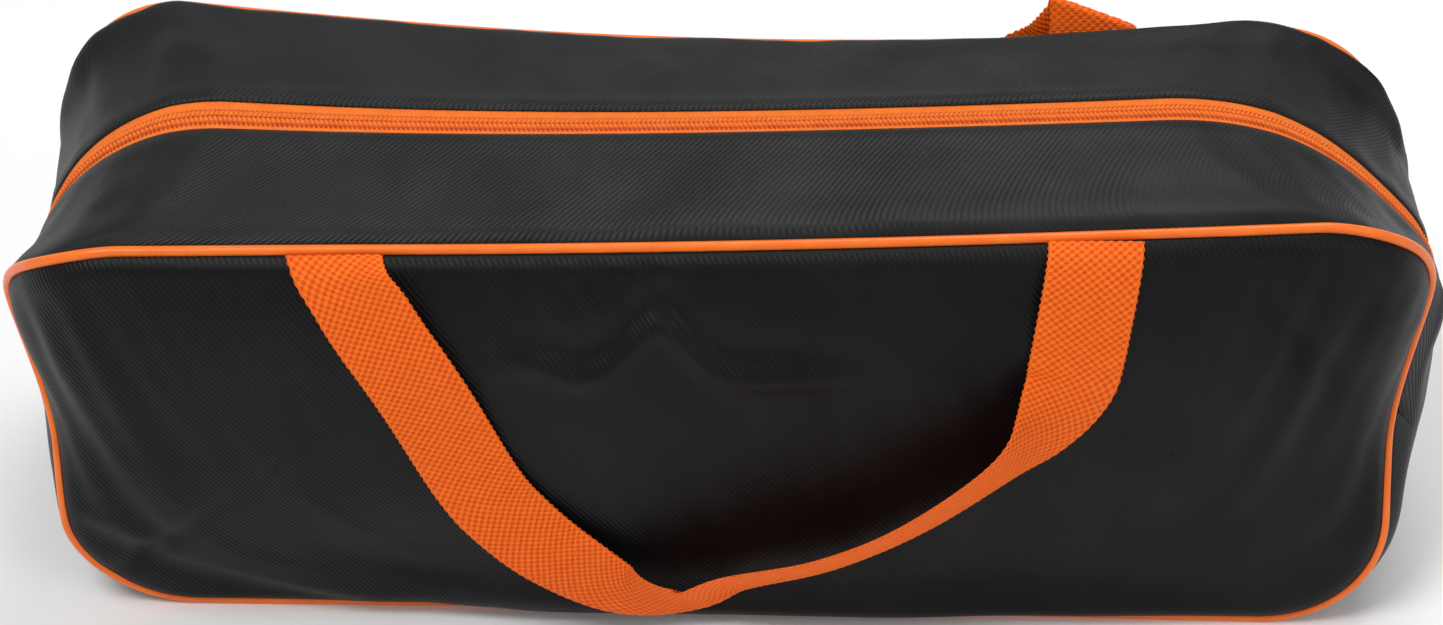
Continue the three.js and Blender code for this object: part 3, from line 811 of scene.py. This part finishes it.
def make_strap(name, middle, along, *nodes):
    """Webbing with woven relief on both faces and serrated edges, round its middle surface, with
    painted shade stored for its hollows.
    """
    normal = unit(np.cross(np.gradient(middle, axis=1), np.gradient(middle, axis=0)))
    wide = unit(np.gradient(middle, axis=1))
    lip = 1 - np.abs(ACROSS) ** 8
    shell, cavity_shades, flats = [], [], []
    for face in (1, -1):
        across = np.broadcast_to(ACROSS * WEB_WIDTH / 2, along.shape)
        shift = 0 if face > 0 else WEAVE_ACROSS
        relief = (np.cos(math.pi * along / WEAVE_ALONG)
                  * np.cos(math.pi * (across + shift) / WEAVE_ACROSS))
        serration = 0.22 * np.cos(math.pi * along / WEAVE_ALONG) * ACROSS ** 9
        depth = (WEB_THICKNESS / 2 - 0.22) * (0.25 + 0.75 * lip) + 0.2 * relief * lip
        grid = middle + wide * serration[..., None] + normal * (face * depth)[..., None]
        flip = slice(None, None, face)
        shell.append(grid[:, flip])
        # Painted shade: darker where the weave relief dips, lighter on its tops.
        cavity_shades.append((0.5 + 0.5 * relief)[:, flip])
        flats.append(np.stack([along, across], axis=-1)[:, flip])
    points = np.concatenate(shell, axis=1)
    rows, columns = points.shape[:2]
    faces = grid_faces(rows, columns, close_columns=True)
    faces += [tuple(range(columns)), tuple(range(rows * columns - 1, (rows - 1) * columns - 1, -1))]
    obj = new_object(name, points.reshape(-1, 3), faces, WEBBING)
    store(obj, "cloth", np.concatenate(flats, axis=1).reshape(-1, 2))
    store(obj, "cavity_shade", np.concatenate(cavity_shades, axis=1).ravel())
    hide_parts(*nodes)
    return obj


def lay_route(route, side):
    return [(x, on_panel(x, z, side) + side * off, z, roll) for x, z, off, roll in route]


def standing_root():
    """Rows of the back handle's right root, up and over its slanting crease, and the length
    along the strap at each."""
    half = WEB_WIDTH / 2
    foot = [on_panel(ROOT_MIDDLE + w * half, ROOT_FOOT, 1) + 1.2 for w in (-1, 1)]
    crease_z = ROOT_TOP - ROOT_SLANT * ACROSS
    foot_y = foot[0] + (foot[1] - foot[0]) * (ACROSS + 1) / 2
    x = ROOT_MIDDLE + ACROSS * half
    rows, lengths = [], []
    for share in np.linspace(0, 1, 18):
        z = ROOT_FOOT + (crease_z - 1.2 - ROOT_FOOT) * share
        rows.append(np.stack([x, foot_y + ROOT_LEAN * (z - ROOT_FOOT), z], axis=1))
        lengths.append(z - ROOT_FOOT)
    front = rows[-1]
    for angle in np.linspace(0, math.pi, 9)[1:]:
        rows.append(front + np.array([0, 1.15 * (1 - math.cos(angle)), 1.3 * math.sin(angle)]))
        lengths.append(lengths[-1] + 0.5)
    return rows, lengths


def folded_root():
    """The back handle's right root with the loop that falls from its crease: mirrored in the
    crease, the strap runs down to the left."""
    rows, lengths = standing_root()
    bend_end = lengths[-1]
    half = WEB_WIDTH / 2
    crease = unit(np.array([half, 0, -ROOT_SLANT]))
    start = rows[-1][len(ACROSS) // 2]
    fall = 2 * crease[2] * crease - np.array([0, 0, 1.0])
    join = np.array(lay_route(BACK_ROUTE, 1))[::-1]
    first = np.concatenate([start, [0]])
    lead = first + ROOT_LEAD * np.array([*fall, 0])
    centre, wide, along = strap_route(np.concatenate([[first, lead], join]), 1, [-1])
    wide = -wide
    offset = (rows[-1] - start) @ fall
    for i in range(1, len(along)):
        keep = np.clip(1 - along[i] / ROOT_LEAD, 0, 1)
        at = along[i] + offset * keep
        place = np.stack([np.interp(at, along, centre[:, k]) for k in range(3)], axis=1)
        before = np.minimum(at, 0)[:, None] * fall
        across = np.stack([np.interp(at, along, wide[:, k]) for k in range(3)], axis=1)
        rows.append(place + before + across * (ACROSS * half)[:, None])
        lengths.append(bend_end + at)
    return np.array(rows), np.array(lengths)


def make_handles():
    front = strap_middle(*strap_route(lay_route(FRONT_ROUTE, -1), -1, [0, -1]))
    front = make_strap("front_handle_webbing", *front, "front_handle")
    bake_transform(front)
    back = make_strap("back_handle_webbing", *folded_root(), "back_handle", "back_handle_root")
    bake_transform(back)


make_handles()


# --- Inner pieces and the slider ------------------------------------------------------------

def dress(node, material):
    """Gives a CAD piece its material and returns it."""
    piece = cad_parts[node]
    piece.data.materials.clear()
    piece.data.materials.append(material)
    return piece


def make_pouch(node):
    """A liner pouch that bulges with its sand: its CAD shape, settled as cloth under pressure."""
    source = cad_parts[node]
    mesh = source.data.copy()
    mesh.transform(source.matrix_world)
    middle = Vector(middle_of(node))
    for vertex in mesh.vertices:
        vertex.co = middle + (vertex.co - middle) * POUCH_SHARE
    obj = bpy.data.objects.new(f"{node}_pouch", mesh)
    bpy.context.collection.objects.link(obj)
    mesh.materials.clear()
    mesh.materials.append(LINER_CLOTH)
    add_modifier(obj, "REMESH", mode="VOXEL", voxel_size=POUCH_VOXEL * METRES,
                 use_smooth_shade=True)
    shape = obj.evaluated_get(bpy.context.evaluated_depsgraph_get())
    obj.data = bpy.data.meshes.new_from_object(shape)
    obj.modifiers.clear()
    rest = read_points(obj.data)
    move = press(obj) - rest
    size = np.linalg.norm(move, axis=1, keepdims=True)
    move *= np.minimum(1, POUCH_LIMIT * METRES / np.maximum(size, 1e-9))
    obj.data.vertices.foreach_set("co", (rest + move).ravel())
    add_modifier(obj, "SUBSURF", levels=1, render_levels=1)
    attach(obj, "bag")
    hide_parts(node)


def press(obj):
    """Where a closed piece's points lie once it has swelled as cloth under pressure."""
    cloth = add_modifier(obj, "CLOTH")
    cloth.settings.use_pressure = True
    cloth.settings.uniform_pressure_force = 4
    cloth.settings.effector_weights.gravity = 0
    return run_cloth(obj, cloth, POUCH_FRAMES)


for binding in ("front_binding", "back_binding", "end_binding_left", "end_binding_right"):
    dress(binding, BINDING_CLOTH)
for end in ("left", "right"):
    make_pouch(f"ballast_{end}")
for end in ("left", "right"):
    dress(f"ballast_tie_{end}", PIPING)
for piece in ("slider_body", "slider_bridge", "pull_tab"):
    add_modifier(dress(piece, METAL), "BEVEL", width=0.25 * METRES, segments=2)


# --- Floor, light and camera ------------------------------------------------------------------

CAMERA_PLACE = (-0.7, -676.3, 592.7)
CAMERA_TILT = 38
CAMERA_LENS = 74.84
FLOOR_REACH = 6.0
WORLD_STRENGTH = 0.4
LIT_PLACE = (0, 0, 0.06)


def make_floor():
    look = Look("floor_paper", (0.9, 0.9, 0.9), 0.9)
    where = look.node("ShaderNodeTexCoord").outputs["Object"]
    look.put(look.shader.inputs["Base Color"],
             look.ramp(look.noise(where, 3, 3), [(0, (0.94, 0.94, 0.94)), (1, (0.97, 0.97, 0.97))]))
    mesh = bpy.data.meshes.new("floor")
    corners = [(-1, -1, 0), (1, -1, 0), (1, 1, 0), (-1, 1, 0)]
    mesh.from_pydata([Vector(corner) * FLOOR_REACH for corner in corners], [], [(0, 1, 2, 3)])
    mesh.materials.append(look.material)
    floor = bpy.data.objects.new("floor", mesh)
    bpy.context.collection.objects.link(floor)


def add_light(name, place, size, power):
    data = bpy.data.lights.new(name, "AREA")
    data.shape = "DISK"
    data.size = size
    data.energy = power
    light = bpy.data.objects.new(name, data)
    light.location = place
    light.rotation_euler = (Vector(LIT_PLACE) - Vector(place)).to_track_quat("-Z", "Y").to_euler()
    bpy.context.collection.objects.link(light)


def make_camera():
    tilt = math.radians(CAMERA_TILT)
    data = bpy.data.cameras.new("camera")
    data.sensor_width = 36
    data.lens = CAMERA_LENS
    camera = bpy.data.objects.new("camera", data)
    camera.location = to_frame(CAMERA_PLACE).tolist()
    look_at = Vector((0, math.cos(tilt), -math.sin(tilt)))
    camera.rotation_euler = look_at.to_track_quat("-Z", "Y").to_euler()
    data.clip_start = 0.01
    bpy.context.collection.objects.link(camera)
    bpy.context.scene.camera = camera


def make_world():
    world = bpy.data.worlds.new("studio")
    world.use_nodes = True
    background = world.node_tree.nodes["Background"]
    background.inputs["Color"].default_value = (1, 1, 1, 1)
    background.inputs["Strength"].default_value = WORLD_STRENGTH
    bpy.context.scene.world = world
    bpy.context.scene.view_settings.view_transform = "Standard"


make_floor()
make_world()
add_light("key", (-0.6, -0.5, 1.5), 0.7, 12)
add_light("fill", (1.0, -1.0, 0.9), 1.0, 4)
add_light("top", (0.3, 0.5, 1.4), 0.8, 8)
make_camera()
